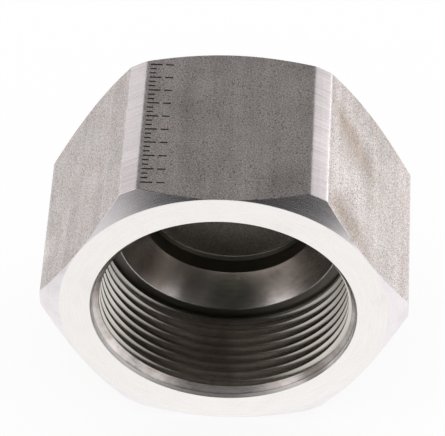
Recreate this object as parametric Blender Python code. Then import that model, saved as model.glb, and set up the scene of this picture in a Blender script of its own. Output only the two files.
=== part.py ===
# Hydraulic end cap, turned from hexagon bar, with a blind threaded bore and a cone seat.
# The cap lies on one flat of its hexagon. The bore runs along Y and its mouth faces -Y.

from math import ceil, cos, pi, radians, tan

import bmesh
import bpy
from mathutils import Matrix

MM = 0.001
INCH = 0.0254

# Hexagon bar
ACROSS_FLATS = 60.0 * MM
CORNER_TURN_DOWN = 0.98 * MM
CHAMFER_ANGLE = radians(30)
MOUTH_CHAMFER_INSET = 0.05 * MM
REAR_CHAMFER_INSET = 1.5 * MM

# Right-hand thread of the bore. This wall, from a flat to its roots, leaves a 1 7/8 inch thread.
THREAD_WALL = 6.1875 * MM
THREADS_PER_INCH = 12
THREAD_DEPTH = 1.01 * MM
THREAD_FLANK_ANGLE = radians(30)
THREAD_ROOT_FLAT = 0.26 * MM
THREADED_LENGTH = 18.2 * MM
FIRST_CREST_DEPTH = 0.71 * MM

# Mouth of the bore
MOUTH_OVERSIZE = 0.55 * MM
EDGE_BREAK_WIDTH = 0.28 * MM
EDGE_BREAK_DEPTH = 0.6 * MM
COUNTERSINK_HALF_ANGLE = radians(45)

# Run-out groove behind the thread
GROOVE_OVERSIZE = 0.1 * MM
GROOVE_UNDERCUT = 0.4 * MM
SHOULDER_SETBACK = 0.72 * MM

# Cone seat, pocket and closed end
SHOULDER_WIDTH = 2.0 * MM
SEAT_WIDTH = 4.2 * MM
SEAT_HALF_ANGLE = radians(37)
POCKET_LENGTH = 3.7 * MM
POCKET_CORNER = 0.65 * MM
FLOOR_STEP = 0.25 * MM
END_WALL = 8.55 * MM

# Fineness of the mesh
OUTSIDE_SEGMENTS = 144
BORE_SEGMENTS = 96
THREAD_SEGMENTS = 72
OVERCUT = 1.0 * MM
WELD = 0.0005 * MM

STEEL_COLOUR = (0.56, 0.54, 0.53, 1.0)
STEEL_ROUGHNESS = 0.38

# Radii that follow from the sizes above
hexagon_radius = ACROSS_FLATS / 2 / cos(pi / 6)
corner_radius = hexagon_radius - CORNER_TURN_DOWN
major_radius = ACROSS_FLATS / 2 - THREAD_WALL
minor_radius = major_radius - THREAD_DEPTH
pilot_radius = minor_radius - THREAD_DEPTH / 2
mouth_radius = major_radius + MOUTH_OVERSIZE
groove_radius = major_radius + GROOVE_OVERSIZE
seat_radius = minor_radius - SHOULDER_WIDTH
pocket_radius = seat_radius - SEAT_WIDTH

# Depths below the mouth face that follow from them
shoulder_depth = THREADED_LENGTH + SHOULDER_SETBACK
groove_end_depth = shoulder_depth + GROOVE_UNDERCUT
seat_end_depth = shoulder_depth + SEAT_WIDTH / tan(SEAT_HALF_ANGLE)
ledge_depth = seat_end_depth + POCKET_LENGTH
floor_depth = ledge_depth + FLOOR_STEP
cap_length = floor_depth + END_WALL


def clear_scene():
    for obj in list(bpy.data.objects):
        bpy.data.objects.remove(obj, do_unlink=True)


def object_from(bm, name):
    """Make an object of the mesh. Its local +Z, which runs into the cap from the mouth, becomes world +Y."""
    bmesh.ops.recalc_face_normals(bm, faces=bm.faces)
    mesh = bpy.data.meshes.new(name)
    bm.to_mesh(mesh)
    bm.free()
    obj = bpy.data.objects.new(name, mesh)
    obj.rotation_euler = (-pi / 2, 0, 0)
    obj.location = (0, -cap_length / 2, ACROSS_FLATS / 2)
    bpy.context.scene.collection.objects.link(obj)
    return obj


def profile_in(bm, points):
    """Draw a chain of (radius, depth) points in the XZ plane."""
    verts = [bm.verts.new((radius, 0, depth)) for radius, depth in points]
    edges = [bm.edges.new(pair) for pair in zip(verts, verts[1:])]
    return verts + edges


def turned_solid(name, points, segments):
    """Revolve a profile that starts and ends on the axis."""
    bm = bmesh.new()
    bmesh.ops.spin(bm, geom=profile_in(bm, points), axis=(0, 0, 1), angle=2 * pi, steps=segments)
    bmesh.ops.remove_doubles(bm, verts=bm.verts, dist=WELD)
    return object_from(bm, name)


def hexagon_bar(name):
    """Bar stock, a little longer than the cap at each end, with flats facing up and down."""
    bm = bmesh.new()
    middle = Matrix.Translation((0, 0, cap_length / 2)) @ Matrix.Rotation(pi / 6, 4, "Z")
    bmesh.ops.create_cone(bm, cap_ends=True, segments=6, radius1=hexagon_radius, radius2=hexagon_radius,
                          depth=cap_length + 2 * OVERCUT, matrix=middle)
    return object_from(bm, name)


def turned_outside(name):
    """What the lathe leaves of the bar: two faced ends, chamfers and turned-down corners."""
    mouth_chamfer_radius = ACROSS_FLATS / 2 - MOUTH_CHAMFER_INSET
    rear_chamfer_radius = ACROSS_FLATS / 2 - REAR_CHAMFER_INSET
    slope = tan(CHAMFER_ANGLE)
    return turned_solid(name, [
        (0, 0),
        (mouth_chamfer_radius, 0),
        (corner_radius, (corner_radius - mouth_chamfer_radius) * slope),
        (corner_radius, cap_length - (corner_radius - rear_chamfer_radius) * slope),
        (rear_chamfer_radius, cap_length),
        (0, cap_length),
    ], OUTSIDE_SEGMENTS)


def turned_bore(name):
    """The bore without its thread, from the mouth to the floor."""
    edge_slope = EDGE_BREAK_WIDTH / EDGE_BREAK_DEPTH
    countersink_radius = mouth_radius - EDGE_BREAK_WIDTH
    countersink_run = (countersink_radius - pilot_radius) / tan(COUNTERSINK_HALF_ANGLE)
    return turned_solid(name, [
        (0, -OVERCUT),
        (mouth_radius + OVERCUT * edge_slope, -OVERCUT),
        (countersink_radius, EDGE_BREAK_DEPTH),
        (pilot_radius, EDGE_BREAK_DEPTH + countersink_run),
        (pilot_radius, THREADED_LENGTH),
        (groove_radius, THREADED_LENGTH),
        (groove_radius, groove_end_depth),
        (minor_radius, groove_end_depth),
        (minor_radius, shoulder_depth),
        (seat_radius, shoulder_depth),
        (pocket_radius, seat_end_depth),
        (pocket_radius, ledge_depth - POCKET_CORNER),
        (pocket_radius - POCKET_CORNER, ledge_depth),
        (pocket_radius - POCKET_CORNER, floor_depth),
        (0, floor_depth),
    ], BORE_SEGMENTS)


def cut_square(bm, depth, away):
    """Trim the mesh at a depth and close it there. away is +1 to drop what lies deeper, -1 the rest."""
    everything = bm.verts[:] + bm.edges[:] + bm.faces[:]
    bmesh.ops.bisect_plane(bm, geom=everything, dist=WELD, plane_co=(0, 0, depth), plane_no=(0, 0, away),
                           clear_outer=True)
    rim = [edge for edge in bm.edges
           if edge.is_boundary and all(abs(vert.co.z - depth) < 2 * WELD for vert in edge.verts)]
    bmesh.ops.contextual_create(bm, geom=rim)


def threading_tap(name):
    """A rod with the thread's form. One pitch of it is swept along the helix, turn after turn."""
    pitch = INCH / THREADS_PER_INCH
    flank = THREAD_DEPTH * tan(THREAD_FLANK_ANGLE)
    crest = pitch - THREAD_ROOT_FLAT - 2 * flank
    end_depth = (THREADED_LENGTH + shoulder_depth) / 2
    lead_in = ceil((FIRST_CREST_DEPTH + OVERCUT) / pitch) + 1
    start = FIRST_CREST_DEPTH - crest / 2 - lead_in * pitch
    turns = ceil((end_depth - start) / pitch)

    bm = bmesh.new()
    one_pitch = profile_in(bm, [
        (minor_radius, start),
        (minor_radius, start + crest),
        (major_radius, start + crest + flank),
        (major_radius, start + crest + flank + THREAD_ROOT_FLAT),
        (minor_radius, start + pitch),
    ])
    bmesh.ops.spin(bm, geom=one_pitch, axis=(0, 0, 1), angle=2 * pi * turns, steps=turns * THREAD_SEGMENTS,
                   dvec=(0, 0, pitch / THREAD_SEGMENTS))
    bmesh.ops.remove_doubles(bm, verts=bm.verts, dist=WELD)
    cut_square(bm, -OVERCUT, -1)
    cut_square(bm, end_depth, 1)
    return object_from(bm, name)


def weld(mesh):
    """Join the points that a cut leaves closer together than the sizes mean."""
    bm = bmesh.new()
    bm.from_mesh(mesh)
    bmesh.ops.remove_doubles(bm, verts=bm.verts, dist=WELD)
    bmesh.ops.dissolve_degenerate(bm, edges=bm.edges, dist=WELD)
    bm.to_mesh(mesh)
    bm.free()


def machine(blank, tool, operation):
    """Cut the blank with one tool, then put the tool away."""
    cut = blank.modifiers.new(tool.name, "BOOLEAN")
    cut.operation = operation
    cut.solver = "EXACT"
    cut.object = tool
    bpy.context.view_layer.objects.active = blank
    bpy.ops.object.modifier_apply(modifier=cut.name)
    bpy.data.objects.remove(tool, do_unlink=True)
    weld(blank.data)


def end_cap():
    cap = hexagon_bar("end_cap")
    machine(cap, turned_outside("outside_profile"), "INTERSECT")
    machine(cap, turned_bore("bore_profile"), "DIFFERENCE")
    machine(cap, threading_tap("thread_tap"), "DIFFERENCE")
    cap.data.materials.clear()
    cap.data.materials.append(steel())
    cap.data.shade_smooth()
    cap.data.set_sharp_from_angle(angle=radians(20))
    return cap


def steel():
    material = bpy.data.materials.new("turned_steel")
    material.use_nodes = True
    material.diffuse_color = STEEL_COLOUR
    shader = material.node_tree.nodes["Principled BSDF"]
    shader.inputs["Base Color"].default_value = STEEL_COLOUR
    shader.inputs["Metallic"].default_value = 1.0
    shader.inputs["Roughness"].default_value = STEEL_ROUGHNESS
    return material


clear_scene()
end_cap()
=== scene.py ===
from math import atan2, cos, degrees, hypot, pi, radians, sin, tan

import bpy
from mathutils import Matrix, Vector


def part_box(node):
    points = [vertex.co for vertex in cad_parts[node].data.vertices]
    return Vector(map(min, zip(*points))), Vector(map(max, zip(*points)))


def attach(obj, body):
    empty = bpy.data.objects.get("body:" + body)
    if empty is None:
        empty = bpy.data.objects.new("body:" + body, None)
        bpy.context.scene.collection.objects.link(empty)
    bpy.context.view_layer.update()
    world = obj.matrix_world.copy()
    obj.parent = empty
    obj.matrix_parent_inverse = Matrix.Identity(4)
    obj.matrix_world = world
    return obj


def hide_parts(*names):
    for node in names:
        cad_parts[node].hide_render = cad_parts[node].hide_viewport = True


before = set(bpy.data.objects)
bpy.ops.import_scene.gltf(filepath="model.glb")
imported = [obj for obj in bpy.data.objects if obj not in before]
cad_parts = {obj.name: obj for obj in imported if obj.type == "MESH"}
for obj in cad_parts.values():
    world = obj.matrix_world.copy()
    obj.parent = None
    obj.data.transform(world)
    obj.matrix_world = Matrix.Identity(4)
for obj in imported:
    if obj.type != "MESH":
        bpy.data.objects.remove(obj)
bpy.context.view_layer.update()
print("frame loaded")

mm = 0.001
bpy.context.scene.view_settings.view_transform = "Standard"

# The cap lies on a flat, its bore runs along Y and the mouth faces -Y. Depths count from the mouth.
boxLow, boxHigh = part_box("end_cap")
mouthY = boxLow.y
axisZ = (boxLow.z + boxHigh.z) / 2


def onAxis(depth):
    return Vector((0, mouthY + depth, axisZ))


def deselectAll():
    for obj in bpy.context.selected_objects:
        obj.select_set(False)


def makeActive(obj):
    deselectAll()
    obj.select_set(True)
    bpy.context.view_layer.objects.active = obj


def edit(obj):
    makeActive(obj)
    bpy.ops.object.mode_set(mode="EDIT")


def leaveEdit():
    bpy.ops.object.mode_set(mode="OBJECT")


def placeInMesh(obj):
    makeActive(obj)
    bpy.ops.object.transform_apply(location=True, rotation=True, scale=True)


def applyModifiers(obj):
    makeActive(obj)
    for modifier in list(obj.modifiers):
        bpy.ops.object.modifier_apply(modifier=modifier.name)


def turnOutward(obj):
    edit(obj)
    bpy.ops.mesh.select_all(action="SELECT")
    bpy.ops.mesh.normals_make_consistent(inside=False)
    leaveEdit()


def selectVerts(obj, wanted):
    # in object mode, so that edit mode starts with just these
    bpy.context.tool_settings.mesh_select_mode = (True, False, False)
    mesh = obj.data
    for vert in mesh.vertices:
        vert.select = wanted(vert.co)
    for edge in mesh.edges:
        edge.select = all(mesh.vertices[i].select for i in edge.vertices)
    for face in mesh.polygons:
        face.select = all(mesh.vertices[i].select for i in face.vertices)


def selectEdges(obj, wanted):
    bpy.context.tool_settings.mesh_select_mode = (False, True, False)
    mesh = obj.data
    for vert in mesh.vertices:
        vert.select = False
    for face in mesh.polygons:
        face.select = False
    for edge in mesh.edges:
        edge.select = wanted(*[mesh.vertices[i].co for i in edge.vertices])


# Sizes of the cap
cap = {
    "barAcrossFlats": boxHigh.z - boxLow.z,
    "length": boxHigh.y - boxLow.y,
    "cornerRadius": boxHigh.x,
    "cornerEdgeWidth": 0.22 * mm,
    "cornerEdgeSegments": 3,
    "mouthFaceRadius": 29.95 * mm,
    "rearFaceRadius": 28.5 * mm,
    "chamferAngle": radians(30),
    "outerEdge": 0.14 * mm,
    "chamferEdge": 0.1 * mm,
    "chamferEdgeFrom": 0.3 * mm,
    "outsideSides": 180,
    "roundAbove": radians(15),
    "smoothBelow": radians(22),

    "mouthRadius": 24.3625 * mm,
    "edgeBreakRadius": 24.0825 * mm,
    "edgeBreakDepth": 0.6 * mm,
    "minorRadius": 22.8025 * mm,
    "grooveRadius": 23.9125 * mm,
    "threadEnd": 18.2 * mm,
    "shoulderDepth": 18.92 * mm,
    "grooveEnd": 19.32 * mm,
    "seatRadius": 20.8025 * mm,
    "seatAngle": radians(37),
    "pocketRadius": 16.6025 * mm,
    "pocketLength": 3.7 * mm,
    "pocketCorner": 0.65 * mm,
    "floorStep": 0.25 * mm,
    "boreEdge": 0.11 * mm,
    "boreSides": 256,
}

# Right-hand thread, 1 7/8 inch with 12 turns to the inch
thread = {
    "pitch": 25.4 * mm / 12,
    "majorRadius": 23.8125 * mm,
    "rootFlat": 0.26 * mm,
    "flankAngle": radians(30),
    "rootRounding": 0.05 * mm,
    "firstRoot": (0.71 + 25.4 / 24) * mm,
    "leadInTurns": 2,
    "baseBelowCrest": 0.3 * mm,
    "trimStart": -1.0 * mm,
    "trimEnd": 18.56 * mm,
}

over = 1.0 * mm      # how far a cutter runs past what it cuts
weld = 0.001 * mm    # points that lie closer together are joined
near = 0.01 * mm     # how close counts as lying on something


def turnedTool(name, rings, sides, edgeWidth):
    # a disc on the axis, drawn out ring by ring; each ring is (radius, depth)
    radius, depth = rings[0]
    deselectAll()
    bpy.ops.mesh.primitive_circle_add(vertices=sides, radius=radius, fill_type="NGON",
                                      location=onAxis(depth), rotation=(pi / 2, 0, 0))
    tool = bpy.context.object
    tool.name = name
    placeInMesh(tool)
    edit(tool)
    bpy.ops.mesh.select_all(action="SELECT")
    for nextRadius, nextDepth in rings[1:]:
        bpy.ops.mesh.extrude_region_move(TRANSFORM_OT_translate={"value": (0, nextDepth - depth, 0)})
        grow = nextRadius / radius
        bpy.ops.transform.resize(value=(grow, 1, grow), center_override=onAxis(nextDepth))
        radius, depth = nextRadius, nextDepth
    leaveEdit()
    turnOutward(tool)
    rounding = tool.modifiers.new("rounding", "BEVEL")
    rounding.width = edgeWidth
    rounding.segments = 3
    rounding.limit_method = "ANGLE"
    rounding.angle_limit = cap["roundAbove"]
    applyModifiers(tool)
    return tool


def cut(piece, tool, operation):
    makeActive(piece)
    step = piece.modifiers.new(tool.name, "BOOLEAN")
    step.operation = operation
    step.solver = "EXACT"
    step.object = tool
    bpy.ops.object.modifier_apply(modifier=step.name)
    bpy.data.objects.remove(tool, do_unlink=True)
    edit(piece)
    bpy.ops.mesh.select_all(action="SELECT")
    bpy.ops.mesh.remove_doubles(threshold=weld)
    bpy.ops.mesh.dissolve_degenerate(threshold=weld)
    leaveEdit()


def flatReach(point):
    # how far the point lies from the axis, square to the flat that it is nearest to
    turn = (atan2(point.z - axisZ, point.x) + pi / 2) % (pi / 3)
    offFlat = min(turn, pi / 3 - turn)
    return hypot(point.x, point.z - axisZ) * cos(offFlat)


def hexagonBar():
    # flats up and down, corners turned down to a round land, long edges rounded
    radius = cap["barAcrossFlats"] / 2 / cos(pi / 6)
    length = cap["length"] + 2 * over
    deselectAll()
    bpy.ops.mesh.primitive_cylinder_add(vertices=6, radius=radius, depth=length,
                                        location=onAxis(cap["length"] / 2), rotation=(pi / 2, pi / 6, 0))
    bar = bpy.context.object
    bar.name = "endCap"
    placeInMesh(bar)
    lands = turnedTool("cornerLands", [
        (cap["cornerRadius"], -2 * over),
        (cap["cornerRadius"], cap["length"] + 2 * over),
    ], cap["outsideSides"], near)
    cut(bar, lands, "INTERSECT")

    def onFlatEdge(a, b):
        # the long edges between a flat and a land
        runsAlong = abs(a.y - b.y) > cap["length"]
        return runsAlong and abs(flatReach(a) - cap["barAcrossFlats"] / 2) < near

    selectEdges(bar, onFlatEdge)
    edit(bar)
    bpy.ops.mesh.bevel(offset=cap["cornerEdgeWidth"], segments=cap["cornerEdgeSegments"], affect="EDGES")
    leaveEdit()
    return bar


def turnedOutside():
    slope = tan(cap["chamferAngle"])
    reach = cap["cornerRadius"] + over
    return turnedTool("outside", [
        (cap["mouthFaceRadius"], 0),
        (reach, (reach - cap["mouthFaceRadius"]) * slope),
        (reach, cap["length"] - (reach - cap["rearFaceRadius"]) * slope),
        (cap["rearFaceRadius"], cap["length"]),
    ], cap["outsideSides"], cap["outerEdge"])


def countersinkEnd():
    return cap["edgeBreakDepth"] + cap["edgeBreakRadius"] - cap["minorRadius"]


def seatEndDepth():
    return cap["shoulderDepth"] + (cap["seatRadius"] - cap["pocketRadius"]) / tan(cap["seatAngle"])


def turnedBore():
    flare = (cap["mouthRadius"] - cap["edgeBreakRadius"]) / cap["edgeBreakDepth"]
    ledge = seatEndDepth() + cap["pocketLength"]
    return turnedTool("bore", [
        (cap["mouthRadius"] + over * flare, -over),
        (cap["edgeBreakRadius"], cap["edgeBreakDepth"]),
        (cap["minorRadius"], countersinkEnd()),
        (cap["minorRadius"], cap["threadEnd"]),
        (cap["grooveRadius"], cap["threadEnd"]),
        (cap["grooveRadius"], cap["grooveEnd"]),
        (cap["minorRadius"], cap["grooveEnd"]),
        (cap["minorRadius"], cap["shoulderDepth"]),
        (cap["seatRadius"], cap["shoulderDepth"]),
        (cap["pocketRadius"], seatEndDepth()),
        (cap["pocketRadius"], ledge - cap["pocketCorner"]),
        (cap["pocketRadius"] - cap["pocketCorner"], ledge),
        (cap["pocketRadius"] - cap["pocketCorner"], ledge + cap["floorStep"]),
    ], cap["boreSides"], cap["boreEdge"])


def threadTool():
    # the section of one groove, swept along the helix and trimmed square at both ends
    inner = cap["minorRadius"] - thread["baseBelowCrest"]
    outer = thread["majorRadius"]
    middle = (inner + outer) / 2
    height = outer - inner
    centre = thread["firstRoot"] - thread["leadInTurns"] * thread["pitch"]
    deselectAll()
    bpy.ops.mesh.primitive_plane_add(size=height, location=onAxis(centre))
    tool = bpy.context.object
    tool.name = "threadTool"
    edit(tool)
    bpy.ops.transform.translate(value=(middle, 0, 0))
    section = onAxis(centre) + Vector((middle, 0, 0))
    bpy.ops.transform.resize(value=(1, thread["rootFlat"] / height, 1), center_override=section)
    leaveEdit()
    selectVerts(tool, lambda place: place.x < middle)
    edit(tool)
    baseWidth = thread["rootFlat"] + 2 * height * tan(thread["flankAngle"])
    bpy.ops.transform.resize(value=(1, baseWidth / thread["rootFlat"], 1), center_override=section)
    leaveEdit()
    selectVerts(tool, lambda place: place.x > middle)
    edit(tool)
    bpy.ops.mesh.bevel(offset=thread["rootRounding"], segments=2, affect="VERTICES")
    leaveEdit()

    sweep = tool.modifiers.new("sweep", "SCREW")
    sweep.axis = "Y"
    sweep.angle = 2 * pi
    sweep.screw_offset = thread["pitch"]
    sweep.iterations = int(cap["threadEnd"] / thread["pitch"]) + thread["leadInTurns"] + 1
    sweep.steps = cap["boreSides"]
    sweep.render_steps = cap["boreSides"]
    applyModifiers(tool)
    placeInMesh(tool)
    for depth, side in ((thread["trimStart"], -1), (thread["trimEnd"], 1)):
        edit(tool)
        bpy.ops.mesh.select_all(action="SELECT")
        bpy.ops.mesh.bisect(plane_co=onAxis(depth), plane_no=(0, side, 0), clear_outer=True)
        bpy.ops.mesh.select_mode(type="EDGE")
        bpy.ops.mesh.select_all(action="DESELECT")
        bpy.ops.mesh.select_non_manifold()
        bpy.ops.mesh.edge_face_add()
        leaveEdit()
    turnOutward(tool)
    return tool


# Plain graduations pressed into the upper flat beside its left edge, with a fainter second row
graduations = {
    "firstDepth": 3.7 * mm,
    "step": 1.09 * mm,
    "count": 28,
    "longEvery": 3,
    "left": -14.7 * mm,
    "longStroke": 2.2 * mm,
    "shortStroke": 1.2 * mm,
    "strokeWidth": 0.45 * mm,
    "endSlope": 0.1 * mm,
    "floorShare": 0.4,
    "pressed": 0.16 * mm,
    "faintLeft": -11.9 * mm,
    "faintStroke": 1.5 * mm,
    "faintPressed": 0.08 * mm,
}


def strokeTool(name, left, length, pressed):
    # a small block, its lower face drawn in so that the stroke gets sloping sides
    top = Vector((left + length / 2, mouthY + graduations["firstDepth"], boxHigh.z))
    deselectAll()
    bpy.ops.mesh.primitive_cube_add(size=1, location=top,
                                    scale=(length, graduations["strokeWidth"], 2 * pressed))
    stroke = bpy.context.object
    stroke.name = name
    placeInMesh(stroke)
    selectVerts(stroke, lambda place: place.z < boxHigh.z)
    edit(stroke)
    endShare = 1 - graduations["endSlope"] / length
    bpy.ops.transform.resize(value=(endShare, graduations["floorShare"], 1), center_override=top)
    leaveEdit()
    return stroke


def copyStroke(stroke, steps):
    makeActive(stroke)
    bpy.ops.object.duplicate()
    bpy.ops.transform.translate(value=(0, steps * graduations["step"], 0))
    placed = bpy.context.object
    placeInMesh(placed)
    return placed


def graduationTool():
    # each kind of stroke is made once, beside the mouth, and copied along the flat
    left, faintLeft = graduations["left"], graduations["faintLeft"]
    longOne = strokeTool("longStroke", left, graduations["longStroke"], graduations["pressed"])
    shortOne = strokeTool("shortStroke", left, graduations["shortStroke"], graduations["pressed"])
    faintOne = strokeTool("faintStroke", faintLeft, graduations["faintStroke"],
                          graduations["faintPressed"])
    strokes = []
    for i in range(graduations["count"]):
        isLong = i % graduations["longEvery"] == 0
        strokes.append(copyStroke(longOne if isLong else shortOne, i))
        if isLong:
            strokes.append(copyStroke(faintOne, i))
    for pattern in (longOne, shortOne, faintOne):
        bpy.data.objects.remove(pattern, do_unlink=True)
    makeActive(strokes[0])
    for stroke in strokes:
        stroke.select_set(True)
    bpy.ops.object.join()
    return strokes[0]


def roundChamfers(piece):
    # the curved edges between the chamfers and the flats, but not where a chamfer runs out to nothing
    slope = tan(cap["chamferAngle"])

    def onChamfer(point):
        depth = point.y - mouthY
        radius = hypot(point.x, point.z - axisZ)
        ends = ((depth, cap["mouthFaceRadius"]), (cap["length"] - depth, cap["rearFaceRadius"]))
        for fromEnd, faceRadius in ends:
            offChamfer = abs((radius - faceRadius) * slope - fromEnd)
            if fromEnd > cap["chamferEdgeFrom"] and offChamfer < near:
                return True
        return False

    selectEdges(piece, lambda a, b: onChamfer(a) and onChamfer(b))
    edit(piece)
    bpy.ops.mesh.bevel(offset=cap["chamferEdge"], segments=3, affect="EDGES")
    leaveEdit()


def makeCap():
    piece = hexagonBar()
    cut(piece, turnedOutside(), "INTERSECT")
    roundChamfers(piece)
    cut(piece, turnedBore(), "DIFFERENCE")
    cut(piece, threadTool(), "DIFFERENCE")
    cut(piece, graduationTool(), "DIFFERENCE")
    makeActive(piece)
    bpy.ops.object.shade_smooth_by_angle(angle=cap["smoothBelow"])
    # keeps the big flats flat beside their rounded edges
    evened = piece.modifiers.new("evened", "WEIGHTED_NORMAL")
    evened.mode = "FACE_AREA"
    evened.weight = 100
    evened.keep_sharp = True
    applyModifiers(piece)
    return piece


endCap = makeCap()
print("cap modelled:", len(endCap.data.polygons), "faces")

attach(endCap, "root")
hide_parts("end_cap")

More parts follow.
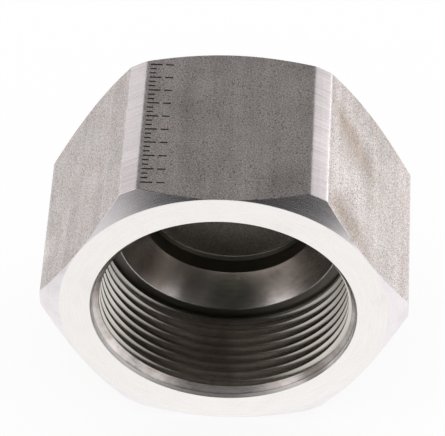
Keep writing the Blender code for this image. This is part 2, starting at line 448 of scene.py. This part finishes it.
# One finish for each machined surface. Sizes are in millimetres, and places are (across, depth, up) from the
# middle of the mouth. Marks are the tool's rings, which follow the radius, the depth or both. Grain is fine
# mottling, bands run along the bar, pits are dark dots that lie in patches, stains are soft patches all over,
# and smudges and shading lie at one place, their edges as torn as ragged says: the darker ones on the flats
# are smudges, those with tints above 1 are painted light, and the others are painted shade. Deep shade is
# painted shade that darkens what lies further in, root shade is painted shade at the bottom of the thread,
# and seam shade is a painted dark line at one depth. Tones are shares of the colour, tints above 1 lighten
# it, and uneven is how much the roughness varies.
finishes = {
    "facedSteel": {
        "colour": (0.95, 0.92, 0.895), "roughness": 0.30,
        "marks": {"follow": (1, 0), "pitch": 0.35, "around": 6, "tone": 0.11, "relief": 0.0006},
        "grain": {"size": 0.5, "tone": 0.03, "relief": 0.0, "stretch": 1},
        "stains": [{"size": 9, "share": 0.35, "tint": (0.95, 0.945, 0.935)}],
    },
    "drawnSteel": {
        "colour": (0.695, 0.634, 0.617), "roughness": 0.42,
        "grain": {"size": 0.27, "tone": 1.6, "relief": 0.011, "stretch": 0.7},
        "bands": {"size": 2.4, "tone": 0.24, "stretch": 14},
        "pits": {"size": 0.6, "share": 0.95, "patch": 6, "tone": 0.85, "shade": 0.25},
        "stains": [
            {"size": 5.5, "share": 0.45, "tint": (0.93, 0.90, 0.88)},
            {"size": 8, "share": 0.4, "tint": (0.93, 0.96, 0.96)},
        ],
        "smudgesAndShading": [
            {"place": (20.6, 26.5, 24.3), "size": 5.0, "tint": (0.86, 0.84, 0.80)},
            {"place": (22.0, 24.2, 21.9), "size": 7.0, "tint": (0.85, 0.81, 0.76)},
            {"place": (23.9, 23.2, 18.6), "size": 6.5, "tint": (0.84, 0.80, 0.75)},
            {"place": (26.0, 21.8, 15.0), "size": 6.0, "tint": (0.87, 0.84, 0.80)},
            {"place": (20.4, 4.0, 24.7), "size": 4.6, "tint": (0.80, 0.76, 0.71)},
            {"place": (22.0, 3.6, 21.9), "size": 5.0, "tint": (0.82, 0.78, 0.74)},
            {"place": (23.9, 3.2, 18.6), "size": 5.0, "tint": (0.84, 0.80, 0.76)},
            {"place": (23.5, 35.0, 19.3), "size": 7.0, "tint": (0.86, 0.86, 0.85)},
            {"place": (28.5, 35.0, 10.7), "size": 7.0, "tint": (0.86, 0.86, 0.85)},
            # painted light: these two, with tints above 1, lighten patches of the flats
            {"place": (21.3, 13.0, 23.0), "size": 6.0, "tint": (1.15, 1.15, 1.15)},
            {"place": (-33.2, 11.0, 2.6), "size": 4.5, "tint": (1.22, 1.22, 1.21)},
            {"place": (13.0, 34.0, 30.0), "size": 5.0, "tint": (0.82, 0.84, 0.84)},
            {"place": (10.5, 4.5, 30.0), "size": 6.5, "tint": (0.80, 0.81, 0.82)},
            {"place": (-6.0, 22.5, 30.0), "size": 6.0, "tint": (0.86, 0.855, 0.86)},
            {"place": (1.0, 34.0, 30.0), "size": 8.0, "tint": (0.93, 0.92, 0.93)},
        ],
    },
    "cornerSteel": {
        "colour": (0.70, 0.643, 0.65), "roughness": 0.30,
        "marks": {"follow": (0, 1), "pitch": 0.36, "around": 3, "tone": 0.36, "relief": 0.0012},
        "grain": {"size": 0.3, "tone": 0.2, "relief": 0.0, "stretch": 1},
        # painted shade on both lands near the mouth, and painted light on the right land's middle
        "smudgesAndShading": [
            {"place": (17.3, 3.0, 29.0), "size": 8.0, "tint": (0.90, 0.90, 0.90)},
            {"place": (-17.3, 3.0, 29.0), "size": 8.0, "tint": (0.91, 0.90, 0.90)},
            {"place": (17.3, 16.0, 29.0), "size": 7.0, "tint": (1.07, 1.07, 1.07)},
        ],
    },
    # lighter than the flats and lands beside it: a painted highlight along the rounded long edges
    "edgeSteel": {
        "colour": (0.80, 0.745, 0.75), "roughness": 0.28,
        "grain": {"size": 0.6, "tone": 0.5, "relief": 0.0, "stretch": 2},
    },
    "chamferSteel": {
        "colour": (0.92, 0.87, 0.89), "roughness": 0.27, "uneven": 0.08,
        "marks": {"follow": (1, 0.3), "pitch": 0.25, "around": 4, "tone": 0.08, "relief": 0.0001},
        "stains": [{"size": 4, "share": 0.4, "tint": (0.92, 0.92, 0.92)}],
    },
    "brokenEdgeSteel": {
        "colour": (0.95, 0.905, 0.89), "roughness": 0.50,
        "marks": {"follow": (0, 1), "pitch": 0.16, "around": 9, "tone": 0.3, "relief": 0.0004},
        # painted shade on the edge break's lower right
        "smudgesAndShading": [{"place": (17.1, 0.3, -17.1), "size": 3, "tint": (0.46, 0.44, 0.41), "ragged": 0.4}],
    },
    "countersinkSteel": {
        "colour": (0.90, 0.85, 0.84), "roughness": 0.29,
        "marks": {"follow": (0, 1), "pitch": 0.16, "around": 9, "tone": 0.2, "relief": 0.0003},
        "stains": [{"size": 2.6, "share": 0.45, "tint": (0.80, 0.74, 0.69)}],
        # painted shade: darker further in, and a dark line just inside the edge break
        "deepShade": {"start": 1.0, "end": 1.6, "tint": (0.88, 0.87, 0.86)},
        "seamShade": {"depth": 0.68, "width": 0.2, "tint": (0.55, 0.54, 0.53)},
        # painted shade at the right, lower right and left of the countersink, and painted light at its lower
        # left
        "smudgesAndShading": [
            {"place": (22.2, 1.3, -8.4), "size": 9, "tint": (0.47, 0.47, 0.46), "ragged": 0.3},
            {"place": (16.8, 1.4, -17.2), "size": 4, "tint": (0.52, 0.485, 0.455), "ragged": 0.4},
            {"place": (-22.0, 1.8, -5.0), "size": 7, "tint": (0.80, 0.80, 0.79), "ragged": 0.6},
            {"place": (-14.0, 1.5, -19.5), "size": 9, "tint": (1.16, 1.16, 1.15), "ragged": 0.3},
        ],
    },
    "threadSteel": {
        "colour": (0.66, 0.627, 0.585), "roughness": 0.25, "uneven": 0.05,
        "marks": {"follow": (1, 0.5), "pitch": 0.4, "around": 2, "tone": 0.09, "relief": 0.0},
        # painted shade: darker further in and in the roots, and smudges of shade at the bottom, lower left,
        # lower right and right
        "deepShade": {"start": 13, "end": 19, "tint": (0.7, 0.7, 0.69)},
        "roots": {"inner": 23.0, "outer": 23.7, "tint": (0.85, 0.84, 0.81)},
        "smudgesAndShading": [
            {"place": (-2.0, 9.0, -23.0), "size": 12, "tint": (0.50, 0.495, 0.48)},
            {"place": (21.5, 11.0, -8.5), "size": 8, "tint": (0.66, 0.65, 0.64), "ragged": 0.4},
            {"place": (-14.5, 8.0, -17.6), "size": 8, "tint": (0.62, 0.615, 0.60), "ragged": 0.4},
            {"place": (13.5, 8.0, -18.4), "size": 7, "tint": (0.84, 0.835, 0.82), "ragged": 0.4},
        ],
    },
    "grooveSteel": {
        "colour": (0.48, 0.452, 0.41), "roughness": 0.50,
        "marks": {"follow": (1, 1), "pitch": 0.2, "around": 6, "tone": 0.2, "relief": 0.0006},
        # painted shade on the groove's lower part
        "smudgesAndShading": [{"place": (-6.0, 19.0, -22.0), "size": 17, "tint": (0.60, 0.60, 0.57), "ragged": 0.3}],
    },
    "seatSteel": {
        "colour": (0.82, 0.76, 0.75), "roughness": 0.20, "uneven": 0.1,
        "marks": {"follow": (1, 0), "pitch": 0.3, "around": 5, "tone": 0.09, "relief": 0.0003},
        "grain": {"size": 0.5, "tone": 0.14, "relief": 0.0, "stretch": 1},
        "stains": [{"size": 1.6, "share": 0.36, "tint": (0.80, 0.77, 0.75)}],
        # painted shade on the lower half of the seat, between its highlights
        "smudgesAndShading": [
            {"place": (0.5, 21.5, -18.5), "size": 6.0, "tint": (0.46, 0.47, 0.40), "ragged": 0.4},
            {"place": (-13.4, 21.5, -12.6), "size": 4.5, "tint": (0.50, 0.48, 0.46), "ragged": 0.4},
            {"place": (-8.2, 22.9, -15.6), "size": 6.0, "tint": (0.42, 0.41, 0.39), "ragged": 0.4},
            {"place": (-7.2, 23.9, -15.2), "size": 4.0, "tint": (0.55, 0.55, 0.54), "ragged": 0.3},
            {"place": (6.0, 21.5, -17.4), "size": 4.0, "tint": (0.58, 0.57, 0.55), "ragged": 0.4},
            {"place": (9.4, 22.0, -16.2), "size": 4.0, "tint": (0.68, 0.67, 0.65), "ragged": 0.4},
        ],
    },
    # lighter than the groove beside it: a painted highlight along the lip, with painted shade on its lower
    # part
    "lipSteel": {
        "colour": (0.80, 0.78, 0.76), "roughness": 0.35,
        "grain": {"size": 0.7, "tone": 1.1, "relief": 0.0, "stretch": 1},
        "smudgesAndShading": [
            {"place": (-1.0, 18.9, -20.8), "size": 13, "tint": (0.25, 0.25, 0.23)},
            {"place": (13.5, 18.9, -15.8), "size": 9, "tint": (0.45, 0.45, 0.43), "ragged": 0.5},
        ],
    },
    # painted shade: the pocket is near black for the shade deep in the bore
    "pocketSteel": {
        "colour": (0.10, 0.095, 0.075), "roughness": 0.38,
        "marks": {"follow": (0, 1), "pitch": 0.25, "around": 6, "tone": 0.25, "relief": 0.0008},
    },
    # lighter than the shaded pocket beside it: a painted highlight line round the ledge's rounded edge
    "ledgeSteel": {
        "colour": (0.60, 0.58, 0.54), "roughness": 0.4,
        "grain": {"size": 0.5, "tone": 0.4, "relief": 0.0, "stretch": 1},
    },
    "drilledSteel": {
        "colour": (0.36, 0.325, 0.285), "roughness": 0.48,
        "marks": {"follow": (1, 0), "pitch": 0.45, "around": 5, "tone": 0.2, "relief": 0.001},
        "grain": {"size": 0.35, "tone": 0.9, "relief": 0.004, "stretch": 1},
    },
    "pressedSteel": {
        "colour": (0.10, 0.09, 0.085), "roughness": 0.55,
        "grain": {"size": 0.3, "tone": 0.4, "relief": 0.004, "stretch": 1},
    },
}


# Where the soft edges of the patterns start and end
fades = {
    "patch": (0.35, 0.62),
    "pit": (0.06, 0.36),
    "stain": 0.15,
    "smudgeAndShading": (0.5, 1.6),
}
usualUneven = 0.25


def addNode(tree, kind, **settings):
    node = tree.nodes.new("ShaderNode" + kind)
    for name, value in settings.items():
        setattr(node, name, value)
    return node


def feed(tree, sockets, values):
    # numbers and colours go into their sockets, and other nodes' outputs are linked to them
    for socket, value in zip(sockets, values):
        if isinstance(value, (int, float)):
            socket.default_value = value
        elif isinstance(value, tuple):
            socket.default_value = value + (1,)
        else:
            tree.links.new(value, socket)


def calc(tree, operation, *values):
    node = addNode(tree, "Math", operation=operation)
    feed(tree, node.inputs, values)
    return node.outputs[0]


def vectorOf(tree, x, y, z):
    node = addNode(tree, "CombineXYZ")
    feed(tree, node.inputs, (x, y, z))
    return node.outputs[0]


def noise(tree, vector, detail=2.0, roughness=0.55):
    node = addNode(tree, "TexNoise")
    node.inputs["Scale"].default_value = 1
    node.inputs["Detail"].default_value = detail
    node.inputs["Roughness"].default_value = roughness
    tree.links.new(vector, node.inputs["Vector"])
    return node.outputs["Fac"]


def smoothStep(tree, value, low, high):
    node = addNode(tree, "MapRange", interpolation_type="SMOOTHSTEP")
    node.inputs["From Min"].default_value = low
    node.inputs["From Max"].default_value = high
    tree.links.new(value, node.inputs["Value"])
    return node.outputs["Result"]


def blendColour(tree, amount, first, second, blend="MIX"):
    node = addNode(tree, "Mix", data_type="RGBA", blend_type=blend)
    tree.links.new(amount, node.inputs["Factor"])
    feed(tree, node.inputs[6:8], (first, second))
    return node.outputs[2]


def scaled(tree, x, y, z, scale):
    return vectorOf(tree, calc(tree, "MULTIPLY", x, scale), calc(tree, "MULTIPLY", y, scale),
                    calc(tree, "MULTIPLY", z, scale))


def toolMarks(tree, place, marks):
    # rings round the axis, each broken up a little on its way round
    x, depth, z, radius = place
    byRadius, byDepth = [share / marks["pitch"] for share in marks["follow"]]
    ring = calc(tree, "MULTIPLY", radius, byRadius)
    ring = calc(tree, "ADD", ring, calc(tree, "MULTIPLY", depth, byDepth))
    turn = calc(tree, "DIVIDE", marks["around"], radius)
    turned = vectorOf(tree, calc(tree, "MULTIPLY", x, turn), ring, calc(tree, "MULTIPLY", z, turn))
    return noise(tree, turned, detail=2.5)


def steelFinish(name, look):
    material = bpy.data.materials.new(name)
    material.use_nodes = True
    tree = material.node_tree
    shader = tree.nodes["Principled BSDF"]
    shader.inputs["Metallic"].default_value = 1
    material.diffuse_color = look["colour"] + (1,)

    # places in millimetres from the middle of the mouth
    where = addNode(tree, "TexCoord")
    centred = addNode(tree, "Mapping")
    centred.inputs["Location"].default_value = -onAxis(0) / mm
    centred.inputs["Scale"].default_value = (1 / mm,) * 3
    tree.links.new(where.outputs["Object"], centred.inputs["Vector"])
    parts = addNode(tree, "SeparateXYZ")
    tree.links.new(centred.outputs["Vector"], parts.inputs["Vector"])
    x, depth, z = parts.outputs
    squares = calc(tree, "ADD", calc(tree, "MULTIPLY", x, x), calc(tree, "MULTIPLY", z, z))
    radius = calc(tree, "SQRT", squares)

    tones = []      # (pattern, amount) that lighten and darken the colour
    reliefs = []    # (pattern, height in millimetres)
    if "marks" in look:
        rings = toolMarks(tree, (x, depth, z, radius), look["marks"])
        tones.append((rings, look["marks"]["tone"]))
        reliefs.append((rings, look["marks"]["relief"]))
    if "grain" in look:
        grain = look["grain"]
        along = calc(tree, "DIVIDE", depth, grain["stretch"])
        speckle = noise(tree, scaled(tree, x, along, z, 1 / grain["size"]), detail=3, roughness=0.65)
        tones.append((speckle, grain["tone"]))
        reliefs.append((speckle, grain["relief"]))
    if "bands" in look:
        bands = look["bands"]
        along = calc(tree, "DIVIDE", depth, bands["stretch"])
        tones.append((noise(tree, scaled(tree, x, along, z, 1 / bands["size"])), bands["tone"]))
    level = 0.5
    for pattern, amount in tones:
        swing = calc(tree, "MULTIPLY", calc(tree, "SUBTRACT", pattern, 0.5), amount)
        level = calc(tree, "ADD", level, swing)
    colour = blendColour(tree, level, (0.0, 0.0, 0.0), tuple(2 * c for c in look["colour"]))

    if "pits" in look:
        pits = look["pits"]
        cells = addNode(tree, "TexVoronoi")
        cells.inputs["Scale"].default_value = 1 / pits["size"]
        tree.links.new(centred.outputs["Vector"], cells.inputs["Vector"])
        split = addNode(tree, "SeparateColor")
        tree.links.new(cells.outputs["Color"], split.inputs["Color"])
        patches = noise(tree, scaled(tree, x, depth, z, 1 / pits["patch"]))
        share = calc(tree, "MULTIPLY", smoothStep(tree, patches, *fades["patch"]), pits["share"])
        here = calc(tree, "LESS_THAN", split.outputs[0], share)
        dot = calc(tree, "SUBTRACT", 1, smoothStep(tree, cells.outputs["Distance"], *fades["pit"]))
        pitted = calc(tree, "MULTIPLY", calc(tree, "MULTIPLY", here, dot), pits["tone"])
        colour = blendColour(tree, pitted, colour, tuple(pits["shade"] * c for c in look["colour"]))
    # painted shade in the roots of the thread
    if "roots" in look:
        roots = smoothStep(tree, radius, look["roots"]["inner"], look["roots"]["outer"])
        colour = blendColour(tree, roots, colour, look["roots"]["tint"], "MULTIPLY")
    # painted shade that darkens what lies further into the bore
    if "deepShade" in look:
        shadedDeeper = smoothStep(tree, depth, look["deepShade"]["start"], look["deepShade"]["end"])
        colour = blendColour(tree, shadedDeeper, colour, look["deepShade"]["tint"], "MULTIPLY")
    # painted shade: a dark line at one depth
    if "seamShade" in look:
        off = calc(tree, "ABSOLUTE", calc(tree, "SUBTRACT", depth, look["seamShade"]["depth"]))
        line = calc(tree, "SUBTRACT", 1, smoothStep(tree, off, 0, look["seamShade"]["width"]))
        colour = blendColour(tree, line, colour, look["seamShade"]["tint"], "MULTIPLY")
    for stain in look.get("stains", []):
        spread = noise(tree, scaled(tree, x, depth, z, 1 / stain["size"]), detail=4, roughness=0.6)
        edge = 1 - stain["share"]
        stained = smoothStep(tree, spread, edge - fades["stain"], edge + fades["stain"])
        colour = blendColour(tree, stained, colour, stain["tint"], "MULTIPLY")
    # smudges, painted shade and painted light: each tints the colour round one place
    for smudgeAndShading in look.get("smudgesAndShading", []):
        away = addNode(tree, "VectorMath", operation="DISTANCE")
        away.inputs[1].default_value = smudgeAndShading["place"]
        tree.links.new(centred.outputs["Vector"], away.inputs[0])
        ragged = noise(tree, scaled(tree, x, depth, z, 2 / smudgeAndShading["size"]), detail=4, roughness=0.7)
        ragged = calc(tree, "MULTIPLY", ragged, smudgeAndShading.get("ragged", 1))
        reach = calc(tree, "ADD", calc(tree, "DIVIDE", away.outputs["Value"], smudgeAndShading["size"]), ragged)
        faded = calc(tree, "SUBTRACT", 1, smoothStep(tree, reach, *fades["smudgeAndShading"]))
        colour = blendColour(tree, faded, colour, smudgeAndShading["tint"], "MULTIPLY")
    tree.links.new(colour, shader.inputs["Base Color"])

    uneven = look.get("uneven", usualUneven)
    vary = calc(tree, "MULTIPLY", calc(tree, "SUBTRACT", tones[0][0], 0.5), uneven)
    tree.links.new(calc(tree, "ADD", vary, look["roughness"]), shader.inputs["Roughness"])
    height = 0.0
    for pattern, amount in reliefs:
        height = calc(tree, "ADD", height, calc(tree, "MULTIPLY", pattern, amount * mm))
    bump = addNode(tree, "Bump")
    bump.inputs["Strength"].default_value = 1
    bump.inputs["Distance"].default_value = 1    # the heights are in metres already
    tree.links.new(height, bump.inputs["Height"])
    tree.links.new(bump.outputs["Normal"], shader.inputs["Normal"])
    return material


# What tells one surface from the next: how far a normal looks along the bore, how far it is turned from a
# flat's own, and how far a rounded land's facets lie inside its radius
telling = {
    "endFacing": 0.97,
    "floorFacing": 0.9,
    "chamferFacing": 0.4,
    "flatFacing": 0.01,
    "flatTurn": radians(0.6),
    "countersinkFacing": 0.1,
    "facetDrop": 0.015 * mm,
}


def isFlat(normal):
    # square to one of the six flats
    turn = (atan2(normal.z, normal.x) + pi / 2) % (pi / 3)
    return min(turn, pi / 3 - turn) < telling["flatTurn"] and abs(normal.y) < telling["flatFacing"]


def inStroke(centre, depth):
    # just below the upper flat, within the two rows of strokes
    below = boxHigh.z - centre.z
    first = graduations["firstDepth"] - graduations["strokeWidth"]
    last = first + graduations["count"] * graduations["step"]
    right = graduations["faintLeft"] + graduations["faintStroke"]
    inRows = graduations["left"] <= centre.x <= right and first < depth < last
    return inRows and near < below < graduations["pressed"] + near


def finishOutside(face, depth):
    if abs(face.normal.y) > telling["endFacing"]:
        return "facedSteel"
    if inStroke(face.center, depth):
        return "pressedSteel"
    if abs(face.normal.y) > telling["chamferFacing"]:
        return "chamferSteel"
    if isFlat(face.normal):
        return "drawnSteel"
    radius = hypot(face.center.x, face.center.z - axisZ)
    return "cornerSteel" if radius > cap["cornerRadius"] - telling["facetDrop"] else "edgeSteel"


def finishInBore(face, depth, radius):
    if depth < cap["edgeBreakDepth"]:
        return "brokenEdgeSteel"
    offSlope = abs(face.normal.y + cos(pi / 4))
    if depth < countersinkEnd() and offSlope < telling["countersinkFacing"]:
        return "countersinkSteel"
    if depth < cap["threadEnd"] - 2 * near:
        return "threadSteel"
    offLip = max(abs(radius - cap["seatRadius"]), abs(depth - cap["shoulderDepth"]))
    if offLip < cap["boreEdge"]:
        return "lipSteel"
    ledgeDepth = seatEndDepth() + cap["pocketLength"]
    offLedge = abs(radius - cap["pocketRadius"] + cap["pocketCorner"])
    facesFloor = face.normal.y < -telling["endFacing"]
    if offLedge < cap["boreEdge"] and depth < ledgeDepth + cap["boreEdge"] and not facesFloor:
        return "ledgeSteel"
    if depth < cap["grooveEnd"] + 2 * near and radius > cap["seatRadius"] - 2 * near:
        return "grooveSteel"
    if depth < seatEndDepth() + 2 * near:
        return "seatSteel"
    return "drilledSteel" if face.normal.y < -telling["floorFacing"] else "pocketSteel"


def finishAt(face):
    # which finish a face gets, from where it lies and which way it looks
    depth = face.center.y - mouthY
    radius = hypot(face.center.x, face.center.z - axisZ)
    atAnEnd = min(depth, cap["length"] - depth) < near
    if atAnEnd or radius > cap["mouthRadius"]:
        return finishOutside(face, depth)
    return finishInBore(face, depth, radius)


endCap.data.materials.clear()
for finishName, look in finishes.items():
    endCap.data.materials.append(steelFinish(finishName, look))
slots = list(finishes)
counts = dict.fromkeys(slots, 0)
for face in endCap.data.polygons:
    found = finishAt(face)
    face.material_index = slots.index(found)
    counts[found] += 1
print("finishes given:", counts)

# Camera: where it stands round the mouth's centre and what it looks at
camera = {
    "azimuth": radians(3.05),
    "elevation": radians(47.38),
    "roll": radians(-0.37),
    "distance": 604.9 * mm,
    "aimRight": -0.13 * mm,
    "aimUp": 17.17 * mm,
    "lens": 269.2,
    "sensor": 36,
    "seesFrom": 0.05,
    "seesTo": 50,
}


def makeCamera():
    az, el, roll = camera["azimuth"], camera["elevation"], camera["roll"]
    back = Vector((sin(az) * cos(el), -cos(az) * cos(el), sin(el)))
    level = Vector((0, 0, 1)).cross(back).normalized()
    right = Matrix.Rotation(roll, 3, back) @ level
    up = back.cross(right)
    place = onAxis(0) + back * camera["distance"] + right * camera["aimRight"] + up * camera["aimUp"]
    data = bpy.data.cameras.new("camera")
    data.lens = camera["lens"]
    data.sensor_width = camera["sensor"]
    data.clip_start = camera["seesFrom"]
    data.clip_end = camera["seesTo"]
    obj = bpy.data.objects.new("camera", data)
    obj.matrix_world = Matrix.Translation(place) @ Matrix((right, up, back)).transposed().to_4x4()
    bpy.context.scene.collection.objects.link(obj)
    bpy.context.scene.camera = obj


makeCamera()
print("camera placed")

# Studio: a white room with a white floor. Round the cap stands a tent of cloth panels that only the metal
# mirrors, so that the camera and the floor see the white room past them. Azimuth counts to the right from
# straight behind the cap, elevation up from the floor, and a later panel lies over an earlier one. The metal
# mirrors the floor less bright to the left and behind the cap, where shade is painted on it, and dark far in
# front of it.
studio = {
    "floorSize": 8.0,
    "floorGap": 0.1 * mm,
    "floorPaint": (0.95, 0.95, 0.95),
    "shadowShare": 0.14,
    "mirroredWhite": 1.0,
    "mirroredLeft": 0.78,
    "mirroredBack": 0.88,
    "leftFrom": -0.04,
    "leftTo": -0.10,
    "backFrom": 0.05,
    "backTo": 0.25,
    "frontTurn": radians(42),
    "frontFrom": -0.30,
    "frontTo": -0.70,
    "tentRadius": 1.6,
    "tentSides": 72,
    "panels": {
        "whiteCloth": {"grey": 1.0, "azimuth": (-180, 180), "elevation": (0, 90)},
        "paleCloth": {"grey": 0.78, "azimuth": (-180, 180), "elevation": (30, 90)},
        "leftCloth": {"grey": 0.6, "azimuth": (-140, -90), "elevation": (30, 50)},
        "rightCloth": {"grey": 0.5, "azimuth": (90, 140), "elevation": (25, 50)},
        "greyCloth": {"grey": 0.235, "azimuth": (-45, 45), "elevation": (30, 90)},
        "frontCloth": {"grey": 0.18, "azimuth": (-245, -138), "elevation": (30, 90)},
        "innerCloth": {"grey": 0.18, "azimuth": (-138, -125), "elevation": (38, 50)},
        "dimCloth": {"grey": 0.08, "azimuth": (117, 146), "elevation": (35, 50)},
        "sideCloth": {"grey": 0.75, "azimuth": (117, 146), "elevation": (10, 33)},
        "topCloth": {"grey": 0.12, "azimuth": (-180, 180), "elevation": (50, 90)},
        "frontTopCloth": {"grey": 0.05, "azimuth": (-240, -120), "elevation": (50, 80)},
        "darkCloth": {"grey": 0.03, "azimuth": (-214, -150), "elevation": (0, 30)},
        "horizonCloth": {"grey": 0.03, "azimuth": (-240, -214), "elevation": (0, 10)},
        "lowCloth": {"grey": 0.36, "azimuth": (-150, -115), "elevation": (0, 15)},
    },
}


def emptyMaterial(name):
    material = bpy.data.materials.new(name)
    material.use_nodes = True
    tree = material.node_tree
    tree.nodes.clear()
    return material, tree, addNode(tree, "OutputMaterial")


def mirroredFloor(tree):
    # how bright the metal sees each place on the floor: painted shade to the left of and behind the cap, and
    # dark far in front
    where = addNode(tree, "TexCoord")
    parts = addNode(tree, "SeparateXYZ")
    tree.links.new(where.outputs["Object"], parts.inputs[0])
    x, y = parts.outputs["X"], parts.outputs["Y"]
    right = smoothStep(tree, x, studio["leftTo"], studio["leftFrom"])
    across = calc(tree, "MULTIPLY", right, studio["mirroredWhite"] - studio["mirroredLeft"])
    across = calc(tree, "ADD", across, studio["mirroredLeft"])
    forward = calc(tree, "ADD", calc(tree, "MULTIPLY", y, cos(studio["frontTurn"])),
                   calc(tree, "MULTIPLY", x, -sin(studio["frontTurn"])))
    front = smoothStep(tree, forward, studio["frontTo"], studio["frontFrom"])
    back = smoothStep(tree, y, studio["backFrom"], studio["backTo"])
    behind = calc(tree, "SUBTRACT", 1, calc(tree, "MULTIPLY", back, 1 - studio["mirroredBack"]))
    return calc(tree, "MULTIPLY", calc(tree, "MULTIPLY", across, front), behind)


def floorMaterial():
    # plain white; a share of it is paint that takes the shadow, which the metal's own view leaves out, as it
    # sees painted shade instead
    material, tree, out = emptyMaterial("floorWhite")
    paint = addNode(tree, "BsdfDiffuse")
    paint.inputs["Color"].default_value = studio["floorPaint"] + (1,)
    glow = addNode(tree, "Emission")
    path = addNode(tree, "LightPath")
    seen = calc(tree, "MAXIMUM", path.outputs["Is Camera Ray"], path.outputs["Is Transmission Ray"])
    plain = addNode(tree, "MixShader")
    tree.links.new(calc(tree, "MULTIPLY", seen, 1 - studio["shadowShare"]), plain.inputs["Fac"])
    tree.links.new(paint.outputs[0], plain.inputs[1])
    tree.links.new(glow.outputs[0], plain.inputs[2])
    mirrored = addNode(tree, "Emission")
    tree.links.new(mirroredFloor(tree), mirrored.inputs["Strength"])
    either = addNode(tree, "MixShader")
    tree.links.new(path.outputs["Is Glossy Ray"], either.inputs["Fac"])
    tree.links.new(plain.outputs[0], either.inputs[1])
    tree.links.new(mirrored.outputs[0], either.inputs[2])
    tree.links.new(either.outputs[0], out.inputs["Surface"])
    return material


def makeFloor():
    deselectAll()
    bpy.ops.mesh.primitive_plane_add(size=studio["floorSize"], location=(0, 0, -studio["floorGap"]))
    floor = bpy.context.object
    floor.name = "floor"
    placeInMesh(floor)
    floor.data.materials.append(floorMaterial())
    return floor


def clothMaterial(name, grey):
    material, tree, out = emptyMaterial(name)
    cloth = addNode(tree, "Emission")
    cloth.inputs["Color"].default_value = (grey, grey, grey, 1)
    tree.links.new(cloth.outputs[0], out.inputs["Surface"])
    return material


def covers(panel, az, el):
    # whether the panel covers a place of the tent; it may run on past straight in front, at -180
    fromAz, toAz = panel["azimuth"]
    fromEl, toEl = panel["elevation"]
    return (fromAz <= az <= toAz or fromAz <= az - 360 <= toAz) and fromEl <= el <= toEl


def makeTent():
    deselectAll()
    bpy.ops.mesh.primitive_uv_sphere_add(segments=studio["tentSides"], ring_count=studio["tentSides"] // 2,
                                         radius=studio["tentRadius"], location=(0, 0, 0))
    tent = bpy.context.object
    tent.name = "tent"
    selectVerts(tent, lambda place: place.z < -near)
    edit(tent)
    bpy.ops.mesh.delete(type="VERT")
    leaveEdit()
    for name, panel in studio["panels"].items():
        tent.data.materials.append(clothMaterial(name, panel["grey"]))
    for face in tent.data.polygons:
        az = degrees(atan2(face.center.x, face.center.y))
        el = degrees(atan2(face.center.z, hypot(face.center.x, face.center.y)))
        for i, panel in enumerate(studio["panels"].values()):
            if covers(panel, az, el):
                face.material_index = i
    tent.visible_camera = False
    tent.visible_diffuse = False
    tent.visible_shadow = False
    return tent


def makeRoom():
    world = bpy.data.worlds.new("room")
    bpy.context.scene.world = world
    world.use_nodes = True
    world.node_tree.nodes["Background"].inputs["Color"].default_value = (1, 1, 1, 1)
    world.cycles.sampling_method = "NONE"    # or it would light the metal straight through the panels


# Soft lamps: direction seen from the cap, distance, size and watts
lamps = {
    "left": {"azimuth": -110, "elevation": 32, "distance": 1.3, "size": 0.7, "watts": 0.75},
    "right": {"azimuth": 60, "elevation": 12, "distance": 1.3, "size": 0.5, "watts": 1.6},
}


def makeLamp(name, lamp):
    az, el = radians(lamp["azimuth"]), radians(lamp["elevation"])
    toward = Vector((sin(az) * cos(el), cos(az) * cos(el), sin(el)))
    data = bpy.data.lights.new(name, "AREA")
    data.shape = "SQUARE"
    data.size = lamp["size"]
    data.energy = lamp["watts"]
    obj = bpy.data.objects.new(name, data)
    obj.location = onAxis(0) + toward * lamp["distance"]
    obj.rotation_euler = toward.to_track_quat("Z", "Y").to_euler()
    bpy.context.scene.collection.objects.link(obj)


makeFloor()
makeTent()
makeRoom()
for lampName, lamp in lamps.items():
    makeLamp(lampName, lamp)
print("studio set")
